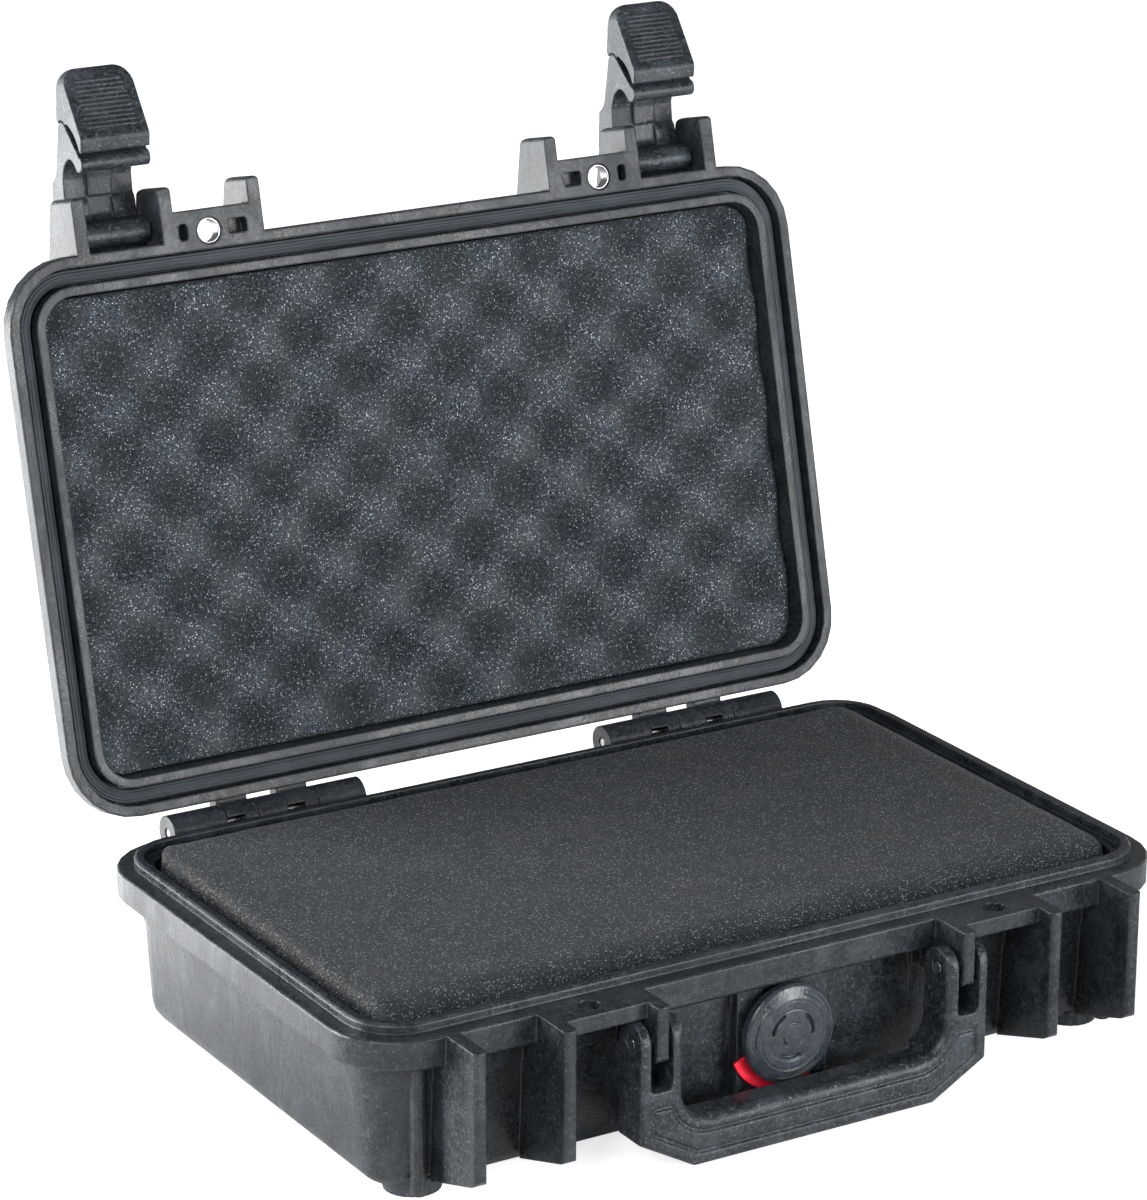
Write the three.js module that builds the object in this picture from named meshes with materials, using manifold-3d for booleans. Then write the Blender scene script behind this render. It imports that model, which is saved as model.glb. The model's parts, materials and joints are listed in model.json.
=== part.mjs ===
// Small hinged equipment case: moulded base and lid, two lever latches, a carrying handle,
// a vent valve and foam inserts. Millimetres, +Z up, front towards -Y.
// The origin is the middle of the footprint, on the plane that the feet stand on.
import * as THREE from 'three';
import { mergeVertices } from 'three/addons/utils/BufferGeometryUtils.js';
import Module from 'manifold-3d';

const wasm = await Module();
wasm.setup();

// ---- driving dimensions -------------------------------------------------------------------
const GAP = 0.3;                 // clearance between separate pieces
const RIM_X = 148;               // half width of both rims
const RIM_Y = 91;                // half depth of both rims
const RIM_R = 23;                // plan radius of the rim corners
const SHOULDER_Z = 56;           // top of the base's shoulder, the parting plane
const FLANGE_Z = 46;             // underside of the base's flange
const FLOOR_Z = 2;               // underside of the base's floor, above the feet
const WALL = 4;                  // wall thickness of the base
const WALL_INSET = 8;            // base wall behind the rim
const DRAFT = 2.5;               // inward slope of the base wall over its height
const FRONT_Y = -(RIM_Y - WALL_INSET);
const STACK_X = 104;             // half size of the stacking panel under the base
const STACK_Y = 50;

const TONGUE_INSET = 5.5;        // sealing tongue behind the rim
const TONGUE_W = 3;
const TONGUE_H = 3.2;

const HINGE_Y = 98;              // lid hinge axis
const HINGE_Z = 54.4;
const KNUCKLE_R = 6;
const HINGE_PIN_R = 1.6;
const LID_OPEN = THREE.MathUtils.degToRad(103.65);

const LID_Z = SHOULDER_Z + GAP;  // lid rim plane, lid shut
const LID_RIM_H = 5.5;
const LID_FLANGE_TOP = 64.3;
const LID_TOP = 86;
const LID_LIP_IN = 12.4;         // inside of the lid's inner lip, behind the rim
const LID_LIP_OUT = 9.5;
const CHANNEL_IN = 3.5;          // outer side of the seal channel, behind the rim
const CHANNEL_TOP = 62.8;

const RIB_T = 4.5;               // thickness of ribs and fins
const RIB_A = 119;               // outer latch rib, distance from the middle
const RIB_B = 88.4;              // inner latch rib, also one side of the padlock plate
const RIB_C = 55.8;              // handle lug, also the other side of the padlock plate
const RIB_NOSE = 1.7;            // plan radius of a rib's front edges
const RIB_FRONT = -107.6;
const LUG_FRONT = -106.8;
const FIN_C = 56.4;              // lid fin beside the handle
const FIN_FRONT = -109;
const PLATE_FRONT = -100.5;
const PLATE_T = 5.2;             // thickness of the padlock plates
const WINDOW_DEPTH = 4.4;        // depth of the blind windows in the lid's plates
const PADLOCK_X = 74;
const PADLOCK_Y = -93.3;

const LATCH_X = (RIB_A + RIB_B) / 2;
const LATCH_W = 24.6;
const LATCH_PIVOT_Y = -96;       // latch pivot, lid shut
const LATCH_PIVOT_Z = 67;
const LATCH_TILT = THREE.MathUtils.degToRad(10);   // open latch leans back from upright
const PIN_R = 1.5;
const LEVER_PIN = { v: 3, u: 34.8 };               // lever pivot, in the latch's own frame
const LEVER_PIN_R = 1.1;

const HANDLE_X = 63.4;           // half width of the handle
const HANDLE_FRONT = -106.3;
const HANDLE_BACK = -93.1;
const HANDLE_PIN_Y = -99.7;
const HANDLE_PIN_Z = 43.5;
const HANDLE_PIN_R = 1.9;
const HANDLE_TIP_R = 6.6;
const GRIP_TOP = 16.5;
const GRIP_BOTTOM = 0.9;

const VALVE_Z = 28.9;
const VALVE_R = 16.3;
const BOSS_X = 16.5;             // half width of the pad that carries the valve
const BOSS_Y = -86;              // its face

// ---- materials ----------------------------------------------------------------------------
const finish = (color, roughness, metalness = 0) => () =>
  new THREE.MeshStandardMaterial({ color, roughness, metalness });
const polymer = finish(0x2b2e32, 0.55);
const latchPolymer = finish(0x24272b, 0.6);
const blackFoam = finish(0x35383c, 0.95);
const sealRubber = finish(0x17191b, 0.5);
const steel = finish(0xc4c5c8, 0.28, 1);
const redPlastic = finish(0xd5203a, 0.5);

// ---- solid helpers ------------------------------------------------------------------------
const toSolid = (geometry) => {
  const bare = geometry.index ? geometry.toNonIndexed() : geometry.clone();
  bare.deleteAttribute('normal');
  bare.deleteAttribute('uv');
  const merged = mergeVertices(bare, 1e-4);
  return new wasm.Manifold(new wasm.Mesh({
    numProp: 3,
    vertProperties: new Float32Array(merged.attributes.position.array),
    triVerts: new Uint32Array(merged.index.array),
  }));
};

const toGeometry = (solid) => {
  const mesh = solid.getMesh();
  const geometry = new THREE.BufferGeometry();
  geometry.setAttribute('position', new THREE.BufferAttribute(new Float32Array(mesh.vertProperties), 3));
  geometry.setIndex(new THREE.BufferAttribute(new Uint32Array(mesh.triVerts), 1));
  geometry.computeVertexNormals();
  return geometry;
};

const union = (...solids) => solids.reduce((sum, solid) => sum.add(solid));
const cut = (body, ...tools) => tools.reduce((rest, tool) => rest.subtract(tool), body);

const box = (x0, x1, y0, y1, z0, z1) => {
  const geometry = new THREE.BoxGeometry(x1 - x0, y1 - y0, z1 - z0);
  geometry.translate((x0 + x1) / 2, (y0 + y1) / 2, (z0 + z1) / 2);
  return toSolid(geometry);
};

// Cylinders along each axis, between two stations on that axis.
const cylinderX = (x0, x1, y, z, r, sides = 24) => {
  const geometry = new THREE.CylinderGeometry(r, r, x1 - x0, sides);
  geometry.rotateZ(Math.PI / 2);
  geometry.translate((x0 + x1) / 2, y, z);
  return toSolid(geometry);
};
const cylinderY = (x, z, r, y0, y1, sides = 32) => {
  const geometry = new THREE.CylinderGeometry(r, r, y1 - y0, sides);
  geometry.translate(x, (y0 + y1) / 2, z);
  return toSolid(geometry);
};
const cylinderZ = (x, y, r, z0, z1, sides = 24) => {
  const geometry = new THREE.CylinderGeometry(r, r, z1 - z0, sides);
  geometry.rotateX(Math.PI / 2);
  geometry.translate(x, y, (z0 + z1) / 2);
  return toSolid(geometry);
};

// An outline of [y, z] points, extruded along X.
const AXES_YZ = new THREE.Matrix4().makeBasis(
  new THREE.Vector3(0, 1, 0), new THREE.Vector3(0, 0, 1), new THREE.Vector3(1, 0, 0));
const profileX = (shape, x0, x1, curveSegments = 6) => {
  const geometry = new THREE.ExtrudeGeometry(shape, { depth: x1 - x0, bevelEnabled: false, curveSegments });
  geometry.applyMatrix4(AXES_YZ);
  geometry.translate(x0, 0, 0);
  return toSolid(geometry);
};
const polygon = (points) => new THREE.Shape(points.map(([a, b]) => new THREE.Vector2(a, b)));

// An outline of [x, z] points, extruded from yBack towards the front.
const AXES_XZ = new THREE.Matrix4().makeBasis(
  new THREE.Vector3(1, 0, 0), new THREE.Vector3(0, 0, 1), new THREE.Vector3(0, -1, 0));
const profileY = (shape, yBack, yFront, curveSegments = 6) => {
  const depth = yBack - yFront;
  const geometry = new THREE.ExtrudeGeometry(shape, { depth, bevelEnabled: false, curveSegments });
  geometry.applyMatrix4(AXES_XZ);
  geometry.translate(0, yBack, 0);
  return toSolid(geometry);
};

// An outline of [x, y] points, extruded along Z.
const profileZ = (shape, z0, z1, curveSegments = 4) => {
  const geometry = new THREE.ExtrudeGeometry(shape, { depth: z1 - z0, bevelEnabled: false, curveSegments });
  geometry.translate(0, 0, z0);
  return toSolid(geometry);
};
// A rectangular pocket along Z with rounded corners.
const pocketZ = (x0, x1, y0, y1, r, z0, z1) => {
  const shape = new THREE.Shape();
  shape.moveTo(x0 + r, y0);
  shape.lineTo(x1 - r, y0);
  shape.absarc(x1 - r, y0 + r, r, -Math.PI / 2, 0, false);
  shape.absarc(x1 - r, y1 - r, r, 0, Math.PI / 2, false);
  shape.absarc(x0 + r, y1 - r, r, Math.PI / 2, Math.PI, false);
  shape.absarc(x0 + r, y0 + r, r, Math.PI, Math.PI * 1.5, false);
  return profileZ(shape, z0, z1);
};

// A solid through a stack of rounded rectangles, each [half x, half y, corner radius, z].
const CORNER_STEPS = 6;
const ringPoints = ([hx, hy, r, z]) => {
  const points = [];
  const corners = [[1, 1, 0], [-1, 1, 1], [-1, -1, 2], [1, -1, 3]];
  for (const [sx, sy, quarter] of corners) {
    for (let i = 0; i <= CORNER_STEPS; i++) {
      const angle = (quarter + i / CORNER_STEPS) * Math.PI / 2;
      points.push([sx * (hx - r) + r * Math.cos(angle), sy * (hy - r) + r * Math.sin(angle), z]);
    }
  }
  return points;
};
const stack = (...levels) => {
  const rings = levels.map(ringPoints);
  const count = rings[0].length;
  const positions = [];
  const triangle = (...corners) => corners.forEach((corner) => positions.push(...corner));
  for (let k = 0; k + 1 < rings.length; k++) {
    for (let i = 0; i < count; i++) {
      const j = (i + 1) % count;
      triangle(rings[k][i], rings[k][j], rings[k + 1][j]);
      triangle(rings[k][i], rings[k + 1][j], rings[k + 1][i]);
    }
  }
  const last = rings.length - 1;
  for (let i = 1; i + 1 < count; i++) {
    triangle(rings[0][0], rings[0][i + 1], rings[0][i]);
    triangle(rings[last][0], rings[last][i], rings[last][i + 1]);
  }
  const geometry = new THREE.BufferGeometry();
  geometry.setAttribute('position', new THREE.Float32BufferAttribute(positions, 3));
  return toSolid(geometry);
};
// One level of a stack, set back from the rim by an inset.
const level = (inset, z) => [RIM_X - inset, RIM_Y - inset, Math.max(RIM_R - inset, 4), z];

const sides = [-1, 1];
const root = new THREE.Group();
const addPiece = (group, name, solid, material) => {
  const mesh = new THREE.Mesh(toGeometry(solid), material());
  mesh.name = name;
  group.add(mesh);
};
const sideName = (side) => (side < 0 ? 'left' : 'right');
// Two distances from the middle as stations on one side, in rising order.
const span = (side, a, b) => [side * a, side * b].sort((low, high) => low - high);
// A rib of the given side outline, its front edges rounded in plan.
const rib = (outline, side, x, front) => {
  const [x0, x1] = span(side, x - RIB_T / 2, x + RIB_T / 2);
  const plan = pocketZ(x0, x1, front, 0, RIB_NOSE, -1, LID_TOP);
  return profileX(outline, x0, x1).intersect(plan);
};

// ---- hinge knuckles -----------------------------------------------------------------------
const HINGE_OUT = 118;           // both ends of a hinge, distance from the middle
const HINGE_IN = 47.2;
const KNUCKLE_ENDS = [118, 98.4, 86.8, 76.2, 64.6, 47.2];   // base, lid, base, lid, base
const KNUCKLE_GAP = 0.2;         // taken off each end of a knuckle
// The knuckles of one body, from every second pair of ends, each with an arm to its rim.
const knuckles = (startIndex, armZ0, armZ1) => {
  const parts = [];
  for (const side of sides) {
    for (let i = startIndex; i < KNUCKLE_ENDS.length - 1; i += 2) {
      const ends = span(side, KNUCKLE_ENDS[i], KNUCKLE_ENDS[i + 1]);
      const from = ends[0] + KNUCKLE_GAP;
      const to = ends[1] - KNUCKLE_GAP;
      parts.push(cylinderX(from, to, HINGE_Y, HINGE_Z, KNUCKLE_R));
      parts.push(box(from, to, RIM_Y - 2, HINGE_Y, armZ0, armZ1));
    }
  }
  return parts;
};
const hingeBore = (side) => {
  const [from, to] = span(side, HINGE_OUT + 1, HINGE_IN - 1);
  return cylinderX(from, to, HINGE_Y, HINGE_Z, HINGE_PIN_R + GAP, 20);
};

// ---- base shell ---------------------------------------------------------------------------
const ribProfile = (front, lowFront, lowRoot) => {
  const shape = new THREE.Shape();
  const tip = 3;
  shape.moveTo(FRONT_Y + 2, lowRoot);
  shape.lineTo(front + tip, lowFront - tip * 0.3);
  shape.quadraticCurveTo(front, lowFront, front, lowFront + tip);
  shape.lineTo(front, SHOULDER_Z);
  shape.lineTo(FRONT_Y + 2, SHOULDER_Z);
  shape.closePath();
  return shape;
};
const baseShell = () => {
  const wallInset = (z) => WALL_INSET + DRAFT * (FLANGE_Z - z) / FLANGE_Z;
  const round = 8;
  const floorLevels = [];
  for (let i = 0; i <= 4; i++) {
    const angle = (i / 4) * Math.PI / 2;
    const z = FLOOR_Z + round * (1 - Math.sin(angle));
    floorLevels.push(level(wallInset(z) + round * (1 - Math.cos(angle)), z));
  }
  // A faint step runs round the wall a little below the flange.
  const stepZ = FLANGE_Z - 8.5;
  const walls = stack(
    ...floorLevels.reverse(), level(wallInset(stepZ), stepZ), level(wallInset(stepZ) - 0.6, stepZ + 0.5),
    level(WALL_INSET - 0.6, FLANGE_Z + 1));
  const flange = stack(
    level(1.2, FLANGE_Z), level(0, FLANGE_Z + 1.2), level(0, SHOULDER_Z - 0.5), level(0.5, SHOULDER_Z));
  const tongue = stack(
    level(TONGUE_INSET, SHOULDER_Z - 1), level(TONGUE_INSET, SHOULDER_Z + TONGUE_H - 0.8),
    level(TONGUE_INSET + 0.8, SHOULDER_Z + TONGUE_H));
  const tongueInside = stack(
    level(TONGUE_INSET + TONGUE_W, SHOULDER_Z),
    level(TONGUE_INSET + TONGUE_W, SHOULDER_Z + TONGUE_H + 1));
  const cavity = stack(
    level(WALL_INSET + WALL + DRAFT, FLOOR_Z + 3.5), level(WALL_INSET + WALL, FLANGE_Z),
    level(WALL_INSET + WALL, SHOULDER_Z + 1));

  const parts = [walls, flange, cut(tongue, tongueInside)];
  for (const side of sides) {
    parts.push(rib(ribProfile(RIB_FRONT, 13.5, 5), side, RIB_A, RIB_FRONT));
    parts.push(rib(ribProfile(RIB_FRONT, 13.5, 5), side, RIB_B, RIB_FRONT));
    parts.push(rib(ribProfile(LUG_FRONT, 38.2, 37), side, RIB_C, LUG_FRONT));
    parts.push(box(...span(side, RIB_B, RIB_C), PLATE_FRONT, FRONT_Y, SHOULDER_Z - PLATE_T, SHOULDER_Z));
    parts.push(cylinderZ(side * 126.5, FRONT_Y, 2.6, FLOOR_Z + 1, FLANGE_Z + 1, 12));
    for (const end of sides) {
      parts.push(cylinderZ(side * 122, end * 71, 9, 0, FLOOR_Z + 4, 24));
    }
  }
  parts.push(box(-BOSS_X, BOSS_X, BOSS_Y, FRONT_Y + 2, 9, FLANGE_Z + 1));
  // The panel that the case stands on, which nests in another case's lid.
  parts.push(stack([STACK_X - 2, STACK_Y - 2, 8, 0], [STACK_X, STACK_Y, 8, FLOOR_Z + 1]));
  parts.push(...knuckles(0, HINGE_Z - KNUCKLE_R, SHOULDER_Z - 0.4));

  const tools = [cavity];
  tools.push(cylinderY(0, VALVE_Z, 8, BOSS_Y - 1, FRONT_Y + WALL + DRAFT + 2, 24));
  for (const side of sides) {
    tools.push(hingeBore(side));
    tools.push(cylinderZ(side * PADLOCK_X, PADLOCK_Y, 3.7, FLANGE_Z - 4, SHOULDER_Z + 1, 20));
    tools.push(cylinderX(side * RIB_C - 4, side * RIB_C + 4, HANDLE_PIN_Y, HANDLE_PIN_Z, HANDLE_PIN_R + GAP, 20));
    // Clearance for the lid knuckles that reach below the parting plane.
    for (let i = 1; i < KNUCKLE_ENDS.length - 1; i += 2) {
      const ends = span(side, KNUCKLE_ENDS[i], KNUCKLE_ENDS[i + 1]);
      tools.push(cylinderX(ends[0] - KNUCKLE_GAP, ends[1] + KNUCKLE_GAP, HINGE_Y, HINGE_Z, KNUCKLE_R + 0.6));
    }
    // A shallow panel behind the handle, each side of the valve pad.
    tools.push(box(...span(side, BOSS_X + 1, 50), FRONT_Y - 3, FRONT_Y + 1.2, 11, FLANGE_Z));
  }
  return cut(union(...parts), ...tools);
};
addPiece(root, 'base_shell', baseShell(), polymer);

// ---- base foam ----------------------------------------------------------------------------
const FOAM_TOP = 60.2;
const PAD_TOP = 16;
addPiece(root, 'base_foam_block', stack(
  [133.6, 76.5, 10, PAD_TOP + GAP], [135.2, 78, 11, FLANGE_Z], [135.2, 78, 11, SHOULDER_Z],
  [134.2, 77, 11, FOAM_TOP - 1.2], [131.8, 74.6, 10, FOAM_TOP]), blackFoam);
addPiece(root, 'base_foam_pad', stack(
  [132.8, 75.8, 9, FLOOR_Z + 3.5 + GAP], [133.4, 76.3, 9, PAD_TOP]), blackFoam);

// ---- hinge pins ---------------------------------------------------------------------------
for (const side of sides) {
  const pin = cylinderX(...span(side, HINGE_OUT - 0.6, HINGE_IN + 0.6), HINGE_Y, HINGE_Z, HINGE_PIN_R, 20);
  addPiece(root, `hinge_pin_${sideName(side)}`, pin, steel);
}

// ---- vent valve ---------------------------------------------------------------------------
const VALVE_BACK = FRONT_Y + WALL + 0.2;
const RED_T = 1;
const RED_OUT = 19.8;
const RED_IN = 15.6;
const SEAL_T = 1.4;
addPiece(root, 'valve_body', cut(
  union(
    cylinderY(0, VALVE_Z, 7.6, BOSS_Y - 4.6, VALVE_BACK, 24),
    cylinderY(0, VALVE_Z, 13, BOSS_Y - SEAL_T - 3.1, BOSS_Y - SEAL_T - 0.6, 32)),
  cylinderY(0, VALVE_Z, 5, BOSS_Y - 6, VALVE_BACK + 1, 20)), latchPolymer);
addPiece(root, 'valve_seal_ring', cut(
  cylinderY(0, VALVE_Z, 11, BOSS_Y - SEAL_T - GAP, BOSS_Y - GAP, 28),
  cylinderY(0, VALVE_Z, 8.2, BOSS_Y - 4, BOSS_Y + 1, 24)), sealRubber);
addPiece(root, 'valve_membrane', cylinderY(0, VALVE_Z, 4.6, -82.6, -81.8, 20), sealRubber);
const cap = cut(
  union(
    cylinderY(0, VALVE_Z, VALVE_R, -91.9, BOSS_Y - SEAL_T - 0.4, 40),
    cylinderY(0, VALVE_Z, VALVE_R - 0.9, -92.8, -91.8, 40)),
  cylinderY(0, VALVE_Z, 13.4, BOSS_Y - SEAL_T - 3.5, BOSS_Y, 32));
addPiece(root, 'valve_cap', cap, latchPolymer);
// A crescent of red plastic, flat on the pad and wall, round the lower left of the cap.
const redShape = new THREE.Shape();
const RED_FROM = THREE.MathUtils.degToRad(203);
const RED_TO = THREE.MathUtils.degToRad(300);
redShape.absarc(0, VALVE_Z, RED_OUT, RED_FROM, RED_TO, false);
redShape.absarc(0, VALVE_Z, RED_IN, RED_TO, RED_FROM, true);
redShape.closePath();
addPiece(root, 'valve_red_ring', profileY(redShape, BOSS_Y - GAP, BOSS_Y - GAP - RED_T, 16), redPlastic);

// ---- carrying handle ----------------------------------------------------------------------
const SLOT_OUT = 59.9;
const SLOT_IN = 52.1;
const PRONG_IN = 48;
const handleSolid = () => {
  const outline = new THREE.Shape();
  outline.moveTo(-43.8, GRIP_BOTTOM);
  outline.lineTo(43.8, GRIP_BOTTOM);
  outline.lineTo(HANDLE_X, 12);
  outline.lineTo(HANDLE_X, HANDLE_PIN_Z);
  outline.lineTo(-HANDLE_X, HANDLE_PIN_Z);
  outline.lineTo(-HANDLE_X, 12);
  outline.closePath();
  const bar = profileY(outline, HANDLE_BACK, HANDLE_FRONT);
  const parts = [bar];
  for (const side of sides) {
    parts.push(cylinderX(...span(side, PRONG_IN, HANDLE_X), HANDLE_PIN_Y, HANDLE_PIN_Z, HANDLE_TIP_R));
  }
  const opening = new THREE.Shape();
  const corner = 10;
  opening.moveTo(-PRONG_IN, 60);
  opening.lineTo(-PRONG_IN, GRIP_TOP + corner);
  opening.absarc(-PRONG_IN + corner, GRIP_TOP + corner, corner, Math.PI, Math.PI * 1.5, false);
  opening.lineTo(PRONG_IN - corner, GRIP_TOP);
  opening.absarc(PRONG_IN - corner, GRIP_TOP + corner, corner, Math.PI * 1.5, Math.PI * 2, false);
  opening.lineTo(PRONG_IN, 60);
  opening.closePath();
  const tools = [profileY(opening, HANDLE_BACK + 2, HANDLE_FRONT - 2)];
  // The upper rear edge of the grip is bevelled for the fingers and to clear the valve.
  const bevel = polygon([
    [HANDLE_BACK + 1, GRIP_TOP + 1], [HANDLE_BACK + 1, GRIP_TOP - 5], [HANDLE_BACK - 4, GRIP_TOP + 1]]);
  tools.push(profileX(bevel, -PRONG_IN + 5, PRONG_IN - 5));
  for (const side of sides) {
    const slot = new THREE.Shape();
    const low = 28.5;
    const middle = side * (SLOT_OUT + SLOT_IN) / 2;
    const half = (SLOT_OUT - SLOT_IN) / 2;
    slot.moveTo(middle - half, 60);
    slot.lineTo(middle - half, low + 2);
    slot.quadraticCurveTo(middle - half, low, middle - half + 2, low);
    slot.lineTo(middle + half - 2, low);
    slot.quadraticCurveTo(middle + half, low, middle + half, low + 2);
    slot.lineTo(middle + half, 60);
    slot.closePath();
    tools.push(profileY(slot, HANDLE_BACK + 2, HANDLE_FRONT - 2));
    const bore = span(side, PRONG_IN - 2, HANDLE_X + 2);
    tools.push(cylinderX(...bore, HANDLE_PIN_Y, HANDLE_PIN_Z, HANDLE_PIN_R + GAP, 20));
  }
  return cut(union(...parts), ...tools);
};
addPiece(root, 'handle', handleSolid(), latchPolymer);
for (const side of sides) {
  const ends = span(side, PRONG_IN + 0.1, HANDLE_X - 0.1);
  const pin = cylinderX(...ends, HANDLE_PIN_Y, HANDLE_PIN_Z, HANDLE_PIN_R, 20);
  addPiece(root, `handle_pin_${sideName(side)}`, pin, steel);
}

// ---- lid, modelled shut and turned open about the hinge axis ------------------------------
const lidTurn = new THREE.Group();
lidTurn.position.set(0, HINGE_Y, HINGE_Z);
lidTurn.rotation.x = -LID_OPEN;
root.add(lidTurn);
const lid = new THREE.Group();
lid.position.set(0, -HINGE_Y, -HINGE_Z);
lidTurn.add(lid);

// The ends of a latch's pivot pin, inside the two fins that hold it.
const latchPinEnds = (side) => {
  const [left, right] = span(side, RIB_A, RIB_B);
  return [left - RIB_T / 2 + 1.2, right + RIB_T / 2 - 0.5];
};
const finProfile = () => {
  const shape = new THREE.Shape();
  shape.moveTo(-78, LID_Z);
  shape.lineTo(FIN_FRONT + 1, LID_Z);
  shape.quadraticCurveTo(FIN_FRONT, LID_Z, FIN_FRONT, LID_Z + 1);
  shape.lineTo(FIN_FRONT, 69.5);
  shape.quadraticCurveTo(FIN_FRONT, 72, FIN_FRONT + 2.4, 72.8);
  shape.lineTo(-91, 78.6);
  shape.lineTo(-78, 79.5);
  shape.closePath();
  return shape;
};
const lidShell = () => {
  const rim = stack(
    level(0.4, LID_Z), level(0, LID_Z + 0.4), level(0, LID_Z + LID_RIM_H), level(3.2, LID_FLANGE_TOP));
  const domeRound = 7;
  const domeInset = (z) => LID_LIP_OUT + 0.1 + 1.4 * (z - LID_FLANGE_TOP) / (LID_TOP - LID_FLANGE_TOP);
  const domeLevels = [level(LID_LIP_OUT, LID_Z + 2)];
  for (let i = 0; i <= 4; i++) {
    const angle = (i / 4) * Math.PI / 2;
    const z = LID_TOP - domeRound * (1 - Math.sin(angle));
    domeLevels.push(level(domeInset(z) + domeRound * (1 - Math.cos(angle)), z));
  }
  const dome = stack(...domeLevels);
  const cavity = stack(level(LID_LIP_IN, LID_Z - 1), level(LID_LIP_IN + 2, LID_TOP - 3.5));
  const channel = cut(
    stack(level(CHANNEL_IN, LID_Z - 1), level(CHANNEL_IN, CHANNEL_TOP)),
    stack(level(LID_LIP_OUT, LID_Z - 2), level(LID_LIP_OUT, CHANNEL_TOP + 1)));
  const parts = [rim, dome];
  for (const side of sides) {
    for (const x of [RIB_A, RIB_B, FIN_C]) {
      parts.push(rib(finProfile(), side, x, FIN_FRONT));
    }
    parts.push(box(...span(side, RIB_B, FIN_C), PLATE_FRONT, -RIM_Y + 4, LID_Z, LID_Z + PLATE_T));
  }
  parts.push(...knuckles(1, LID_Z + 0.4, LID_Z + 5.4));
  // The shallow recess that another case's base panel nests in.
  const recess = stack([STACK_X + 1, STACK_Y + 1, 8, LID_TOP - 1.4], [STACK_X + 2, STACK_Y + 2, 8, LID_TOP + 1]);
  const tools = [cavity, channel, recess];
  for (const side of sides) {
    tools.push(hingeBore(side));
    tools.push(cylinderZ(side * PADLOCK_X, PADLOCK_Y, 4.5, LID_Z - 1, LID_Z + PLATE_T + 4, 24));
    const windowTop = LID_Z + WINDOW_DEPTH;
    tools.push(pocketZ(...span(side, 60.2, 67), -96.2, -91.4, 0.9, LID_Z - 1, windowTop));
    tools.push(pocketZ(...span(side, 81.6, 84.8), -96.4, -91, 1.2, LID_Z - 1, windowTop));
    // The latch pin is pressed in from the right and stops short of each left face.
    const [boreStart, boreEnd] = latchPinEnds(side);
    tools.push(cylinderX(boreStart - GAP, boreEnd + 5, LATCH_PIVOT_Y, LATCH_PIVOT_Z, PIN_R + GAP, 16));
    // Windows in the lid knuckles that show the pin.
    for (let i = 1; i < KNUCKLE_ENDS.length - 1; i += 2) {
      const start = span(side, KNUCKLE_ENDS[i], KNUCKLE_ENDS[i + 1])[0];
      tools.push(box(start - 1, start + 6.6, HINGE_Y - 2.2, HINGE_Y + 2.2, HINGE_Z - 8, HINGE_Z));
    }
  }
  return cut(union(...parts), ...tools);
};
addPiece(lid, 'lid_shell', lidShell(), polymer);

const GASKET_OUT = 4.1;          // outer and inner sides of the seal, behind the rim
const GASKET_IN = 8.9;
const GASKET_FACE = SHOULDER_Z + TONGUE_H + GAP;
addPiece(lid, 'lid_gasket', cut(
  stack(level(GASKET_OUT + 0.8, GASKET_FACE), level(GASKET_OUT, GASKET_FACE + 0.8),
    level(GASKET_OUT, CHANNEL_TOP - GAP)),
  stack(level(GASKET_IN, GASKET_FACE - 1), level(GASKET_IN, CHANNEL_TOP))), sealRubber);

addPiece(lid, 'lid_foam', stack(
  [135, 78, 10, 60.8], [134.8, 77.8, 10, 63], [133.2, 76, 9, LID_TOP - 3.5 - GAP]), blackFoam);

for (const side of sides) {
  const sleeve = cut(
    cylinderZ(side * PADLOCK_X, PADLOCK_Y, 4.2, LID_Z + 0.3, LID_Z + PLATE_T - 0.3, 24),
    cylinderZ(side * PADLOCK_X, PADLOCK_Y, 3.6, LID_Z - 1, LID_Z + PLATE_T + 1, 24));
  addPiece(lid, `padlock_sleeve_${sideName(side)}`, sleeve, steel);
  const pin = cylinderX(...latchPinEnds(side), LATCH_PIVOT_Y, LATCH_PIVOT_Z, PIN_R, 16);
  addPiece(lid, `latch_pin_${sideName(side)}`, pin, steel);
}

// ---- latches ------------------------------------------------------------------------------
// A latch has its own frame: the pivot at the origin, v (Y) towards the outside face and
// u (Z) from the pivot to the lever's tip. Shut, u points down and v points forward.
const HALF_W = LATCH_W / 2;
const TAB_W = 8;
const PANEL_HALF = 4.3;          // half width of the raised panel on the arm's neck
const BARREL_R = 4.2;            // round the arm's pivot
const PIN_HALF = HALF_W - 1.8;   // half length of the lever's pin, hidden inside the arm
const armProfile = () => {
  const shape = new THREE.Shape();
  shape.moveTo(0.5, -6.6);
  shape.lineTo(8.5, -6.4);
  shape.quadraticCurveTo(16.2, -4, 17, 6);
  shape.lineTo(14.8, 17.5);
  shape.quadraticCurveTo(10.8, 19.5, 10.2, 22.5);
  shape.lineTo(5.55, 35.7);
  shape.absarc(LEVER_PIN.v, LEVER_PIN.u, 2.7, 0.34, 2.6, false);
  shape.lineTo(-7.6, 26.6);
  shape.absarc(-7, 24, 2.7, 1.8, Math.PI * 1.75, false);
  shape.quadraticCurveTo(-2.5, 26.2, 0.6, 25.4);
  shape.quadraticCurveTo(4.6, 24, 6.2, 18.5);
  shape.lineTo(6.8, 7.5);
  shape.quadraticCurveTo(6.8, 4.8, 4, 4.5);
  shape.absarc(0, 0, BARREL_R, 1.35, Math.PI * 1.5, false);
  shape.closePath();
  return shape;
};
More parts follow.
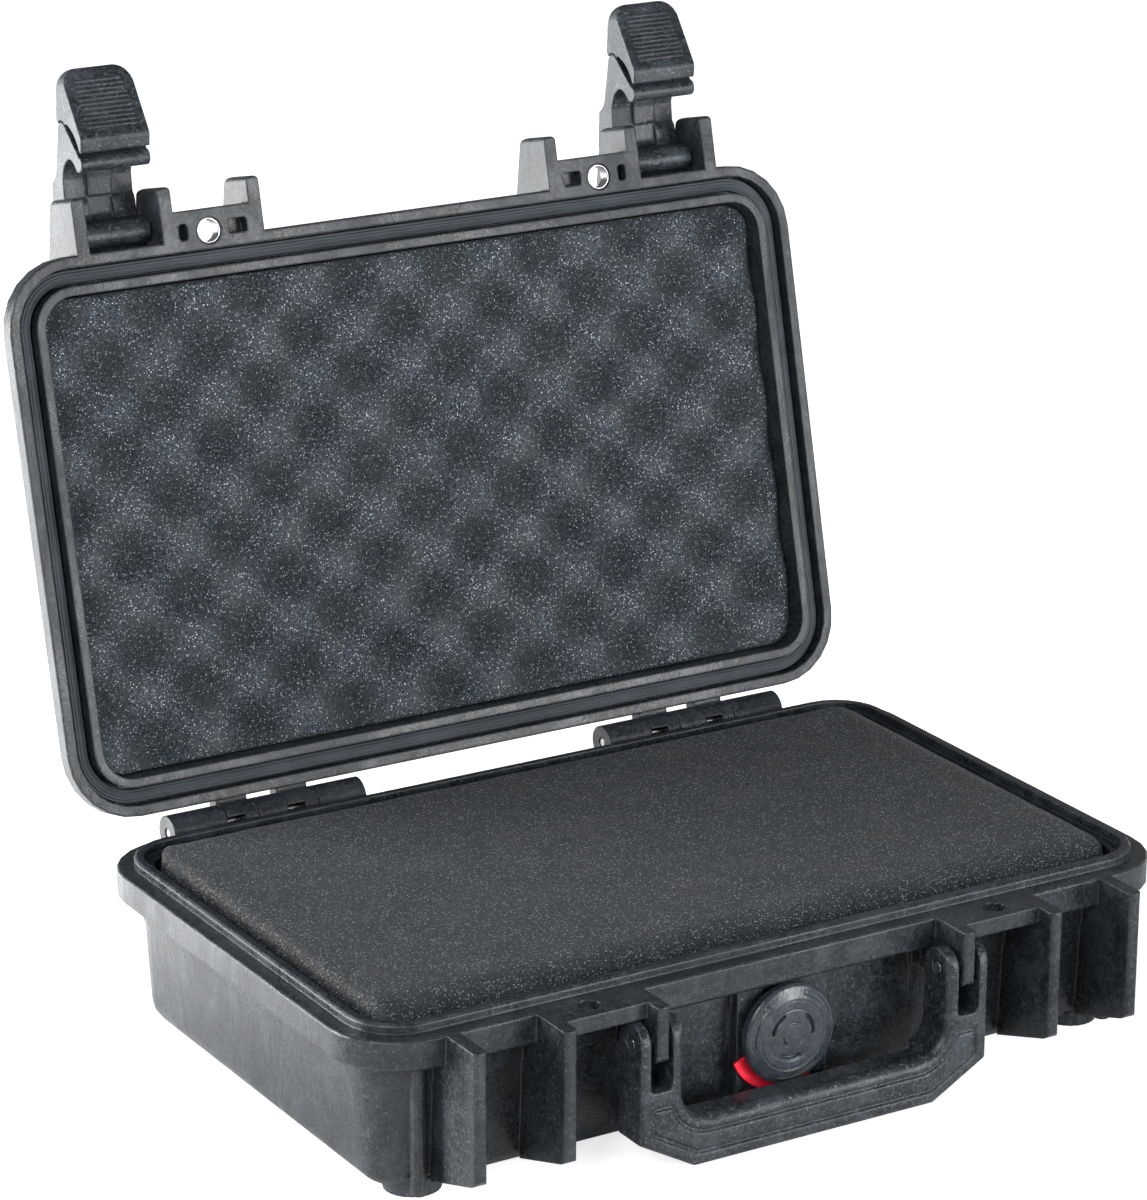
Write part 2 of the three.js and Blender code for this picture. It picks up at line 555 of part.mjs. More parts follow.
// A raised panel down the middle of the neck, and below it a pad on each side of the middle.
const neckPanelProfile = () => {
  const shape = new THREE.Shape();
  shape.moveTo(8, 12.6);
  shape.lineTo(8, 22.5);
  shape.lineTo(3.4, 22.5);
  shape.lineTo(4.6, 18.5);
  shape.lineTo(5.2, 12.6);
  shape.closePath();
  return shape;
};
const neckPadProfile = () => {
  const shape = new THREE.Shape();
  shape.moveTo(8, 4);
  shape.lineTo(8, 12.4);
  shape.lineTo(6.7, 12.4);
  shape.quadraticCurveTo(5.4, 11.4, 5.3, 9.6);
  shape.lineTo(5.3, 6.4);
  shape.lineTo(4, 4);
  shape.closePath();
  return shape;
};
const armSolid = () => {
  const body = union(
    profileX(armProfile(), -HALF_W, HALF_W),
    profileX(neckPanelProfile(), -PANEL_HALF, PANEL_HALF),
    profileX(neckPadProfile(), -HALF_W, -PANEL_HALF),
    profileX(neckPadProfile(), PANEL_HALF, HALF_W));
  const tools = [];
  tools.push(cylinderX(-HALF_W - 1, HALF_W + 1, 0, 0, PIN_R + GAP, 16));
  tools.push(cylinderX(-PIN_HALF - GAP, PIN_HALF + GAP, LEVER_PIN.v, LEVER_PIN.u, LEVER_PIN_R + GAP, 12));
  const tabClear = TAB_W / 2 + 0.4;
  tools.push(cylinderX(-tabClear, tabClear, LEVER_PIN.v, LEVER_PIN.u, 3.1, 16));
  return cut(body, ...tools);
};
const leverProfile = () => {
  const shape = new THREE.Shape();
  shape.moveTo(6.3, 38.2);
  shape.lineTo(3.4, 50.5);
  shape.quadraticCurveTo(2.8, 54, 0.9, 54);
  shape.quadraticCurveTo(-0.6, 54, -1.2, 51.6);
  shape.lineTo(-10.4, 33.2);
  shape.quadraticCurveTo(-11, 32, -10.8, 31);
  shape.lineTo(-10, 27.6);
  shape.quadraticCurveTo(-9.2, 27.3, -8.8, 28);
  shape.quadraticCurveTo(-6.5, 34.5, -1, 36.8);
  shape.absarc(LEVER_PIN.v, LEVER_PIN.u, 3.15, 2.68, 0.7, true);
  shape.closePath();
  return shape;
};
const leverSolid = () => {
  const tab = cylinderX(-TAB_W / 2, TAB_W / 2, LEVER_PIN.v, LEVER_PIN.u, 2.7, 16);
  const bridge = box(-TAB_W / 2, TAB_W / 2, LEVER_PIN.v - 1.6, LEVER_PIN.v + 1.8, LEVER_PIN.u + 1, 39);
  const body = profileX(leverProfile(), -HALF_W, HALF_W);
  // Round the two tip corners as seen from the front.
  const tip = new THREE.Shape();
  const corner = 6;
  tip.moveTo(-HALF_W, 20);
  tip.lineTo(-HALF_W, 54 - corner);
  tip.absarc(-HALF_W + corner, 54 - corner, corner, Math.PI, Math.PI / 2, true);
  tip.absarc(HALF_W - corner, 54 - corner, corner, Math.PI / 2, 0, true);
  tip.lineTo(HALF_W, 20);
  tip.closePath();
  const rounded = body.intersect(profileY(tip, 20, -20));
  return cut(
    union(rounded, tab, bridge),
    cylinderX(-TAB_W, TAB_W, LEVER_PIN.v, LEVER_PIN.u, LEVER_PIN_R + GAP, 12));
};
for (const side of sides) {
  const latch = new THREE.Group();
  latch.position.set(side * LATCH_X, LATCH_PIVOT_Y, LATCH_PIVOT_Z);
  latch.rotation.x = LID_OPEN - LATCH_TILT;
  lid.add(latch);
  const label = sideName(side);
  addPiece(latch, `latch_arm_${label}`, armSolid(), latchPolymer);
  addPiece(latch, `latch_lever_${label}`, leverSolid(), latchPolymer);
  const pin = cylinderX(-PIN_HALF, PIN_HALF, LEVER_PIN.v, LEVER_PIN.u, LEVER_PIN_R, 12);
  addPiece(latch, `latch_lever_pin_${label}`, pin, steel);
}

export default root;
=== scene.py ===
"""Looks of a small hinged equipment case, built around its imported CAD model.
Metres, +Z up, front towards -Y. The lid stands open at rest."""

import json
import math

import bmesh
import bpy
import numpy as np
from mathutils import Matrix, Vector, noise


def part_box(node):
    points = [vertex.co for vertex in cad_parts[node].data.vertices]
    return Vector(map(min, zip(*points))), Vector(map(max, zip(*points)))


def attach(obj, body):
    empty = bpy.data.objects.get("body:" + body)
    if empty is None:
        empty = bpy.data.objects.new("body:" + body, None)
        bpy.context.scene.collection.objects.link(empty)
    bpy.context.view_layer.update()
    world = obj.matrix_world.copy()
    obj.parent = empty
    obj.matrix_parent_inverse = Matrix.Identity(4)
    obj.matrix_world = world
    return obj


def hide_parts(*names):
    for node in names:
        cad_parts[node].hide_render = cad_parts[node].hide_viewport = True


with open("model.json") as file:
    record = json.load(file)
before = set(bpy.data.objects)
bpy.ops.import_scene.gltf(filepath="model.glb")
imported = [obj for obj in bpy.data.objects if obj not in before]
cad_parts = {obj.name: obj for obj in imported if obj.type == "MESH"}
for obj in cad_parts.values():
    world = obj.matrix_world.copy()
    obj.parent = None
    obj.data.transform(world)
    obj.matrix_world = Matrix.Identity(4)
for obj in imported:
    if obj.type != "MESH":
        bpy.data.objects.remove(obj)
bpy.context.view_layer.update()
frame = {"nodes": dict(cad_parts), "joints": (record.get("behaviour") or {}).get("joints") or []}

MM = 0.001
JOINTS = {joint["name"]: joint for joint in frame["joints"]}
HINGE = Vector(JOINTS["lid_hinge"]["pos_m"])
LID_OPEN = math.radians(-JOINTS["lid_hinge"]["range_deg"][0])
LATCH_TILT = math.radians(10)
SIDES = ("left", "right")

# The lid and the latches are described in their own frames and set in place by these.
LID_FRAME = Matrix.Translation(HINGE) @ Matrix.Rotation(-LID_OPEN, 4, "X") @ Matrix.Translation(-HINGE)


def latch_frame(side):
    pivot = Vector(JOINTS[f"latch_{side}_swing"]["pos_m"])
    return Matrix.Translation(pivot) @ Matrix.Rotation(-LATCH_TILT, 4, "X")


# ---- camera -----------------------------------------------------------------------------------
CAMERA_PLACE = Vector((-0.7295, -1.1674, 0.6073))
CAMERA_AZIMUTH = math.radians(-31.98)
CAMERA_ELEVATION = math.radians(19.46)
CAMERA_ROLL = math.radians(0.436)
CAMERA_LENS = 138.75
CAMERA_SHIFT = (-0.0511, 0.0546)


def make_camera():
    level = math.cos(CAMERA_ELEVATION)
    back = Vector((
        math.sin(CAMERA_AZIMUTH) * level, -math.cos(CAMERA_AZIMUTH) * level, math.sin(CAMERA_ELEVATION)))
    right = Vector((0, 0, 1)).cross(back).normalized()
    up = back.cross(right)
    turned_right = right * math.cos(CAMERA_ROLL) + up * math.sin(CAMERA_ROLL)
    turned_up = up * math.cos(CAMERA_ROLL) - right * math.sin(CAMERA_ROLL)
    data = bpy.data.cameras.new("camera")
    data.lens = CAMERA_LENS
    data.shift_x, data.shift_y = CAMERA_SHIFT
    data.clip_end = 20
    camera = bpy.data.objects.new("camera", data)
    bpy.context.scene.collection.objects.link(camera)
    axes = Matrix((turned_right, turned_up, back)).transposed()
    camera.matrix_world = Matrix.Translation(CAMERA_PLACE) @ axes.to_4x4()
    bpy.context.scene.camera = camera


# ---- materials --------------------------------------------------------------------------------
class Graph:
    """A procedural material: a Principled shader and the nodes that feed it, in object coordinates."""

    def __init__(self, name):
        self.material = bpy.data.materials.new(name)
        self.material.use_nodes = True
        self.tree = self.material.node_tree
        self.tree.nodes.clear()
        self.shader = self.node("ShaderNodeBsdfPrincipled")
        output = self.node("ShaderNodeOutputMaterial")
        self.link(self.shader.outputs["BSDF"], output.inputs["Surface"])
        self.place = self.node("ShaderNodeTexCoord").outputs["Object"]

    def node(self, kind, **values):
        made = self.tree.nodes.new(kind)
        for key, value in values.items():
            setattr(made, key, value)
        return made

    def link(self, source, target):
        self.tree.links.new(source, target)

    def feed(self, node, **values):
        """Sets a node's inputs to numbers or colours, or links them to other nodes' outputs."""
        for name, value in values.items():
            self.plug(node.inputs[name.replace("_", " ")], value)

    def plug(self, socket, value):
        if isinstance(value, bpy.types.NodeSocket):
            self.link(value, socket)
        else:
            socket.default_value = value

    def noise(self, scale, detail=3.0, roughness=0.6, stretch=None, distortion=0.0):
        source = self.place
        if stretch:
            mapping = self.node("ShaderNodeMapping")
            self.feed(mapping, Vector=self.place, Scale=stretch)
            source = mapping.outputs["Vector"]
        made = self.node("ShaderNodeTexNoise")
        self.feed(
            made, Vector=source, Scale=scale, Detail=detail, Roughness=roughness, Distortion=distortion)
        return made.outputs["Fac"]

    def cells(self, scale):
        made = self.node("ShaderNodeTexVoronoi")
        self.feed(made, Vector=self.place, Scale=scale)
        return made

    def span(self, value, low, high, to_low=0.0, to_high=1.0):
        """Maps low..high to to_low..to_high, clamped, with a smooth middle."""
        made = self.node("ShaderNodeMapRange", interpolation_type="SMOOTHSTEP")
        self.feed(made, Value=value, From_Min=low, From_Max=high, To_Min=to_low, To_Max=to_high)
        return made.outputs["Result"]

    def math(self, operation, a, b=0.0):
        made = self.node("ShaderNodeMath", operation=operation)
        for socket, value in zip(made.inputs, (a, b)):
            self.plug(socket, value)
        return made.outputs[0]

    def mix(self, factor, a, b, blend="MIX"):
        made = self.node("ShaderNodeMix", data_type="RGBA", blend_type=blend)
        colours = [socket for socket in made.inputs if socket.type == "RGBA"]
        for socket, value in zip((made.inputs[0], *colours), (factor, a, b)):
            self.plug(socket, value)
        return next(socket for socket in made.outputs if socket.type == "RGBA")

    def edge_mask(self, radius):
        """1 along convex and concave edges, 0 on flat ground."""
        bevel = self.node("ShaderNodeBevel", samples=4)
        self.feed(bevel, Radius=radius)
        plain = self.node("ShaderNodeNewGeometry")
        dot = self.node("ShaderNodeVectorMath", operation="DOT_PRODUCT")
        self.link(bevel.outputs["Normal"], dot.inputs[0])
        self.link(plain.outputs["Normal"], dot.inputs[1])
        return self.span(self.math("SUBTRACT", 1.0, dot.outputs["Value"]), 0.004, 0.05)

    def round_edges(self, radius):
        """Normals that turn smoothly over every edge, as on a moulding."""
        bevel = self.node("ShaderNodeBevel", samples=6)
        self.feed(bevel, Radius=radius)
        return bevel.outputs["Normal"]

    def bump(self, height, distance, strength=1.0, normal=None):
        made = self.node("ShaderNodeBump")
        self.feed(made, Height=height, Distance=distance, Strength=strength)
        if normal is not None:
            self.link(normal, made.inputs["Normal"])
        return made.outputs["Normal"]

    def finish(self, **inputs):
        self.feed(self.shader, **inputs)
        return self.material


NEUTRAL = (1.0, 1.0, 1.0)
COOL = (0.80, 1.0, 1.22)
PALE = (0.95, 1.0, 1.05)
FLECK_TINT = (0.92, 1.0, 1.08)


def grey(value, tint=NEUTRAL):
    return (*(value * share for share in tint), 1.0)


def moulded_polymer(name, dark, light, grain, roughness, sparkle, edge=0.9 * MM):
    """Black glass-filled polymer: spark-eroded grain with pale flecks, faint flow marks, and a painted
    highlight along its edges.
    """
    g = Graph(name)
    grit = g.noise(1900, detail=2.0, roughness=0.8)
    mottle = g.noise(620, detail=4.0, roughness=0.75)
    flow = g.noise(34, detail=6.0, roughness=0.62, stretch=(1.0, 1.0, 0.45), distortion=1.6)
    cloud = g.noise(85, detail=4.0, roughness=0.6, distortion=0.8)
    patch = g.noise(11, detail=3.0, roughness=0.5)
    tone = g.math("MULTIPLY", g.span(grit, 0.36, 0.7), g.span(mottle, 0.3, 0.7))
    colour = g.mix(tone, grey(dark, COOL), grey(light, COOL))
    colour = g.mix(g.span(cloud, 0.42, 0.7, 0.0, 0.45), colour, grey(light * 1.2, COOL))
    fleck = g.math("MULTIPLY", g.span(grit, 0.54, 0.68), g.span(mottle, 0.46, 0.62))
    colour = g.mix(g.math("MULTIPLY", fleck, sparkle), colour, grey(0.26, PALE))
    # Painted highlight: every edge, convex and concave, is painted lighter.
    colour = g.mix(g.math("MULTIPLY", g.edge_mask(0.5 * MM), 0.4), colour, grey(light * 2.2, PALE))
    rough = g.math("ADD", g.span(mottle, 0.3, 0.7, roughness - 0.08, roughness + 0.10),
                   g.span(flow, 0.35, 0.7, 0.07, -0.12))
    rough = g.math("ADD", rough, g.span(patch, 0.35, 0.65, 0.05, -0.06))
    waves = g.bump(flow, 0.9 * MM, 0.6, g.round_edges(edge))
    ripples = g.bump(cloud, 0.28 * MM, 0.6, waves)
    fine = g.bump(g.math("ADD", grit, mottle), grain, 1.0, ripples)
    return g.finish(Base_Color=colour, Roughness=rough, Normal=fine, IOR=1.5)


def open_foam(name, dark, light, speck, amount, crest=False, fuzz=False):
    """Charcoal polyurethane foam: open cells that glint as fine pale flecks, painted shade in its hollows
    and painted light on its crests, and lighter frayed strands along a cut edge."""
    g = Graph(name)
    cell = g.cells(1350)
    fleck_shape = g.span(cell.outputs["Distance"], 0.12, 0.42, 1.0, 0.0)
    random = g.node("ShaderNodeSeparateColor")
    g.link(cell.outputs["Color"], random.inputs["Color"])
    chosen = g.math("POWER", random.outputs["Red"], 1.0 / amount)
    fleck = g.math("MULTIPLY", fleck_shape, chosen)
    pores = g.noise(1500, detail=3.0, roughness=0.8)
    cloud = g.noise(70, detail=3.0, roughness=0.6)
    base = g.mix(g.span(pores, 0.38, 0.62), grey(dark, COOL), grey(light, COOL))
    base = g.mix(g.span(cloud, 0.35, 0.7, 0.0, 0.3), base, grey(light * 1.1))
    colour = g.mix(fleck, base, grey(speck, FLECK_TINT))
    if crest:
        # Painted shade in the hollows and painted light on the crests of the egg-crate.
        height = g.node("ShaderNodeAttribute", attribute_name="crest").outputs["Fac"]
        shade = g.mix(g.span(height, 0.1, 1.0), grey(0.55), grey(1.15))
        colour = g.mix(1.0, colour, shade, "MULTIPLY")
    if fuzz:
        # Lighter, brownish strands painted along the frayed left top edge.
        frayed = g.node("ShaderNodeAttribute", attribute_name="fuzz").outputs["Fac"]
        strand = g.noise(1100, detail=3.0, roughness=0.8)
        pale_patches = g.math("MULTIPLY", frayed, g.span(strand, 0.44, 0.62, 0.0, 0.7))
        colour = g.mix(pale_patches, colour, (0.24, 0.21, 0.18, 1.0))
    relief = g.math("ADD", pores, g.math("MULTIPLY", cell.outputs["Distance"], -0.6))
    g.shader.inputs["Sheen Weight"].default_value = 0.06
    g.shader.inputs["Sheen Roughness"].default_value = 0.5
    g.shader.inputs["Specular IOR Level"].default_value = 0.2
    rough = g.span(pores, 0.3, 0.7, 0.85, 0.98)
    return g.finish(Base_Color=colour, Roughness=rough, Normal=g.bump(relief, 0.14 * MM))


def seal_rubber(name):
    """Smooth dark elastomer with a faint moulding bloom."""
    g = Graph(name)
    bloom = g.noise(90, detail=4.0, roughness=0.6, stretch=(0.3, 0.3, 1.0))
    grit = g.noise(1800, detail=2.0)
    colour = g.mix(g.span(bloom, 0.35, 0.7), grey(0.030, COOL), grey(0.060, COOL))
    rough = g.span(bloom, 0.3, 0.7, 0.38, 0.52)
    return g.finish(Base_Color=colour, Roughness=rough, Normal=g.bump(grit, 0.02 * MM))


def drawn_steel(name):
    """Ground stainless pin: fine lengthwise draw lines and a little staining."""
    g = Graph(name)
    lines = g.noise(1400, detail=2.0, stretch=(0.04, 1.0, 1.0))
    stain = g.noise(300, detail=3.0)
    colour = g.mix(g.span(stain, 0.35, 0.7), (0.52, 0.52, 0.54, 1.0), (0.34, 0.34, 0.36, 1.0))
    rough = g.span(lines, 0.3, 0.7, 0.26, 0.42)
    g.shader.inputs["Metallic"].default_value = 1.0
    return g.finish(Base_Color=colour, Roughness=rough, Normal=g.bump(lines, 0.01 * MM))


def red_plastic(name):
    """Satin red plastic with slight moulding variation."""
    g = Graph(name)
    cloud = g.noise(160, detail=3.0)
    grit = g.noise(2200, detail=2.0)
    colour = g.mix(g.span(cloud, 0.35, 0.7), (0.86, 0.012, 0.035, 1.0), (0.95, 0.03, 0.06, 1.0))
    rough = g.span(grit, 0.3, 0.7, 0.38, 0.5)
    return g.finish(Base_Color=colour, Roughness=rough, Normal=g.bump(grit, 0.02 * MM))


MATERIALS = {
    "shell": moulded_polymer(
        "shell_polymer", dark=0.010, light=0.046, grain=0.07 * MM, roughness=0.34, sparkle=0.35),
    "latch_polymer": moulded_polymer(
        "latch_polymer", dark=0.010, light=0.058, grain=0.10 * MM, roughness=0.37, sparkle=0.8,
        edge=0.6 * MM),
    # The cap's polymer is painted lighter than the latch polymer: painted light standing in for
    # reflections and highlights the cap does not get.
    "cap": moulded_polymer(
        "cap_polymer_painted_light", dark=0.026, light=0.062, grain=0.012 * MM, roughness=0.24, sparkle=0.1,
        edge=0.3 * MM),
    "base_foam": open_foam("base_foam", dark=0.007, light=0.044, speck=0.48, amount=0.50, fuzz=True),
    "lid_foam": open_foam("lid_foam", dark=0.009, light=0.074, speck=0.70, amount=0.42, crest=True),
    "seal": seal_rubber("seal_rubber"),
    "steel": drawn_steel("drawn_steel"),
    "red": red_plastic("red_plastic"),
}


def dress(obj, key):
    obj.data.materials.clear()
    obj.data.materials.append(MATERIALS[key])


# ---- mesh helpers -----------------------------------------------------------------------------
IN_PLACE = Matrix.Identity(4)
SAME_POINT = 2e-6                        # corners of a faceted solid this near each other are one


def new_object(name, verts, faces, place=IN_PLACE):
    """A smooth-shaded object of a closed mesh, its faces turned outwards."""
    mesh = bpy.data.meshes.new(name)
    mesh.from_pydata([tuple(v) for v in verts], [], [tuple(f) for f in faces])
    mesh.transform(place)
    made = bmesh.new()
    made.from_mesh(mesh)
    bmesh.ops.recalc_face_normals(made, faces=made.faces)
    made.to_mesh(mesh)
    made.free()
    mesh.shade_smooth()
    obj = bpy.data.objects.new(name, mesh)
    bpy.context.scene.collection.objects.link(obj)
    return obj


def soften(obj, width):
    """Rounds the moulded edges of a faceted solid and shades it smoothly."""
    weld = obj.modifiers.new("weld", "WELD")
    weld.merge_threshold = SAME_POINT
    flat = obj.modifiers.new("planar", "DECIMATE")
    flat.decimate_type = "DISSOLVE"
    flat.angle_limit = math.radians(0.6)
    bevel = obj.modifiers.new("bevel", "BEVEL")
    bevel.width = width
    bevel.segments = 2
    bevel.limit_method = "ANGLE"
    bevel.angle_limit = math.radians(28)
    bevel.use_clamp_overlap = True
    bevel.miter_outer = "MITER_ARC"
    bevel.harden_normals = False
    shade = obj.modifiers.new("shade", "WEIGHTED_NORMAL")
    shade.mode = "FACE_AREA_WITH_ANGLE"
    shade.weight = 80
    shade.keep_sharp = False


def apply_modifiers(obj):
    bpy.context.view_layer.update()
    graph = bpy.context.evaluated_depsgraph_get()
    mesh = bpy.data.meshes.new_from_object(obj.evaluated_get(graph))
    obj.modifiers.clear()
    obj.data = mesh


def moulded_copy(name, node, voxel, rounding, cutters=()):
    """A new object with a CAD node's shape, less the cutters, its edges softened as a moulding's are."""
    mesh = frame["nodes"][node].data.copy()
    obj = bpy.data.objects.new(name, mesh)
    bpy.context.scene.collection.objects.link(obj)
    weld = obj.modifiers.new("weld", "WELD")
    weld.merge_threshold = SAME_POINT
    for cutter in cutters:
        cut = obj.modifiers.new("cut", "BOOLEAN")
        cut.object = cutter
        cut.operation = "DIFFERENCE"
        cut.solver = "EXACT"
    remesh = obj.modifiers.new("remesh", "REMESH")
    remesh.mode = "VOXEL"
    remesh.voxel_size = voxel
    relax = obj.modifiers.new("relax", "SMOOTH")
    relax.factor = 0.5
    relax.iterations = rounding
    apply_modifiers(obj)
    obj.data.shade_smooth()
    for cutter in cutters:
        bpy.data.objects.remove(cutter)
    return obj


def stand_for(obj, body, slot, *nodes):
    """Makes a piece move with a body and show in place of CAD nodes."""
    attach(obj, body)
    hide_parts(*nodes)


def rounded_plan(u, v, half_x, half_y, radius):
    """Maps grid places u, v (-1..1) onto a rectangle with round corners."""
    x = u * half_x
    y = v * half_y
    p = np.clip((np.abs(x) - (half_x - radius)) / radius, 0, None)
    q = np.clip((np.abs(y) - (half_y - radius)) / radius, 0, None)
    length = np.sqrt(p * p + q * q)
    both = (p > 0) & (q > 0)
    shrink = np.where(both, np.maximum(p, q) / np.maximum(length, 1e-9), 1.0)
    x = np.where(both, np.sign(x) * (half_x - radius + p * shrink * radius), x)
    y = np.where(both, np.sign(y) * (half_y - radius + q * shrink * radius), y)
    return x, y


def pad_solid(name, half_x, half_y, radius, side_levels, top, step, place=IN_PLACE):
    """A closed pad: rings at (height, inset) levels from the bottom up, then a fine top surface
    z = top(x, y). Only the inset of the last level counts: its ring is the edge of the top."""

    def plan(u, v, inset):
        return rounded_plan(u, v, half_x - inset, half_y - inset, radius - min(inset, radius * 0.6))

    nx = int(round(2 * half_x / step))
    ny = int(round(2 * half_y / step))
    u, v = np.meshgrid(np.linspace(-1, 1, nx + 1), np.linspace(-1, 1, ny + 1), indexing="ij")
    x, y = plan(u, v, side_levels[-1][1])
    z = top(x, y)
    verts = [np.stack([x, y, z], -1).reshape(-1, 3)]
    index = np.arange((nx + 1) * (ny + 1)).reshape(nx + 1, ny + 1)
    quads = np.stack([index[:-1, :-1], index[1:, :-1], index[1:, 1:], index[:-1, 1:]], -1).reshape(-1, 4)
    faces = quads.tolist()
    rim = np.concatenate([index[:-1, 0], index[-1, :-1], index[:0:-1, -1], index[0, :0:-1]])
    rim_z = z.reshape(-1)[rim]
    count = len(rim)
    offset = len(verts[0])
    above = rim
    for height, inset in reversed(side_levels[:-1]):
        ring_x, ring_y = plan(u.reshape(-1)[rim], v.reshape(-1)[rim], inset)
        ring_z = np.minimum(height, rim_z - 0.05 * MM)
        verts.append(np.stack([ring_x, ring_y, ring_z], -1))
        ring = np.arange(offset, offset + count)
        faces += np.stack([above, np.roll(above, -1), np.roll(ring, -1), ring], -1).tolist()
        above = ring
        offset += count
    faces.append(above.tolist())
    return new_object(name, np.concatenate(verts), faces, place)


def wall_faces(stations, points, closed):
    """Quads between the successive stations of a swept closed section."""
    faces = []
    for i in range(stations if closed else stations - 1):
        j = (i + 1) % stations
        for k in range(points):
            following = (k + 1) % points
            faces.append((i * points + k, i * points + following, j * points + following, j * points + k))
    return faces


def swept_ring(name, half_x, half_y, radius, section, place):
    """A closed ring: section points (inset, z) carried round a rounded rectangle."""
    arc_steps = 14
    verts = []
    corners = ((1, 1), (-1, 1), (-1, -1), (1, -1))
    for quarter, (side_x, side_y) in enumerate(corners):
        for i in range(arc_steps + 1):
            angle = (quarter + i / arc_steps) * math.pi / 2
            for inset, z in section:
                reach = radius - inset
                verts.append((
                    side_x * (half_x - radius) + reach * math.cos(angle),
                    side_y * (half_y - radius) + reach * math.sin(angle), z))
    faces = wall_faces(len(corners) * (arc_steps + 1), len(section), True)
    return new_object(name, verts, faces, place)


def swept_cutter(path, section, closed):
    """A solid swept along (x, z) points: section points are (distance to the left of travel, y)."""
    points = [Vector(p) for p in path]
    count = len(points)
    verts = []
    for i, point in enumerate(points):
        steps = []
        if closed or i > 0:
            steps.append((point - points[i - 1]).normalized())
        if closed or i + 1 < count:
            steps.append((points[(i + 1) % count] - point).normalized())
        tangent = sum(steps, Vector((0, 0))).normalized()
        left = Vector((-tangent.y, tangent.x))
        stretch = 1 / max(0.5, tangent.dot(steps[0]))
        for side, y in section:
            place = point + left * side * stretch
            verts.append((place.x, y, place.y))
    n = len(section)
    faces = wall_faces(count, n, closed)
    if not closed:
        faces.append(tuple(range(n)))
        faces.append(tuple(range((count - 1) * n, count * n)))
    return new_object("cutter", verts, faces)


def arc_points(centre, radius, start, end, steps):
    """Points (a, b) on an arc, angles in degrees."""
    turns = [math.radians(start + (end - start) * i / steps) for i in range(steps + 1)]
    return [(centre[0] + radius * math.cos(turn), centre[1] + radius * math.sin(turn)) for turn in turns]


def round_over(radius, y_front, side):
    """Cutter section for the front edge of the material on one side (+1 left, -1 right) of a path."""
    outside = 1.0 * MM
    points = [(-outside, y_front - outside), (radius, y_front - outside)]
    points += arc_points((radius, y_front + radius), radius, -90, -180, 6)
    points.append((-outside, y_front + radius))
    return [(side * reach, y) for reach, y in points]


def fractal(x, y, scale, seed):
    """Smooth noise for arrays, summed over two octaves, about -1..1."""
    flat = np.zeros(x.size)
    for share, size, layer in ((1.0, scale, seed), (0.5, scale * 2.3, seed + 7.0)):
        for i, (a, b) in enumerate(zip(x.reshape(-1), y.reshape(-1))):
            flat[i] += share * noise.noise(Vector((a * size, b * size, layer)))
    return flat.reshape(x.shape)


# ---- foam -------------------------------------------------------------------------------------
FOAM_STEP = 1.1 * MM
SHOULDER = 56 * MM                       # the base's ledge and parting plane
FOAM_SPRING = 0.5 * MM                   # how far the base foam swells once it is clear of the shell


def clamped(value):
    return min(1.0, max(0.0, value))


def make_base_foam():
    """The block that fills the base: flat-cut top that rolls down towards the front and right."""
    low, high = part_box("base_foam_block")
    half_x = (high.x - low.x) / 2 - 0.4 * MM
    half_y = (high.y - low.y) / 2 - 0.3 * MM
    top_z = high.z

    def rolled(inside, start, run, drop, power):
        """Drop of the top at a distance inside an edge, where it rolls down over a run from start."""
        return drop * np.clip((start - inside) / run, 0, 1) ** power

    def top(x, y):
        drop = rolled(half_y + y, 15 * MM, 14 * MM, 4.6 * MM, 2)
        drop += rolled(half_x - x, 9 * MM, 8.5 * MM, 2.2 * MM, 2.5)
        drop += rolled(half_x + x, 5.5 * MM, 5 * MM, 3.0 * MM, 2.5)
        drop += rolled(half_y - y, 4 * MM, 4 * MM, 1.4 * MM, 2.5)
        wobble = 0.22 * MM * fractal(x, y, 38, 1.0) + 0.05 * MM * fractal(x, y, 240, 2.0)
        return top_z - 0.35 * MM - drop + wobble

    levels = [
        (low.z, 1.6 * MM), (low.z + 12 * MM, 1.2 * MM), (top_z - 12 * MM, 0.2 * MM),
        (top_z - 7 * MM, 0.3 * MM), (top_z - 5.6 * MM, 0.4 * MM), (top_z - 5 * MM, 1 * MM)]
    foam = pad_solid("base_foam", half_x, half_y, 11 * MM, levels, top, FOAM_STEP)
    # The left edge is frayed. Above the shoulder the foam springs outwards at the back and right.
    fuzz = foam.data.attributes.new("fuzz", "FLOAT", "POINT")
    for vertex, frayed in zip(foam.data.vertices, fuzz.data):
        x, y, z = vertex.co
        frayed.value = max(0.0, 1 - (x + half_x) / (5 * MM)) * clamped((z - top_z + 3.4 * MM) / (2 * MM))
        spring = FOAM_SPRING * clamped((z - SHOULDER - 0.5 * MM) / (2 * MM))
        vertex.co.x += spring * clamped(x / half_x) ** 4
        vertex.co.y += spring * clamped(y / half_y) ** 4
    dress(foam, "base_foam")
    stand_for(foam, "base", "foam", "base_foam_block")


def make_foam_pad():
    """The thin sheet under the block, seen only when the block is lifted out."""
    low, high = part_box("base_foam_pad")

    def top(x, y):
        return high.z - 0.3 * MM + 0.12 * MM * fractal(x, y, 120, 4.0)

    levels = [
        (low.z, 0.6 * MM), (low.z + 5 * MM, 0.2 * MM), (high.z - 1 * MM, 0.3 * MM),
        (high.z - 0.4 * MM, 1.2 * MM)]
    pad = pad_solid("base_foam_sheet", high.x, high.y, 9 * MM, levels, top, 5 * MM)
    dress(pad, "base_foam")
    stand_for(pad, "base", "foam", "base_foam_pad")


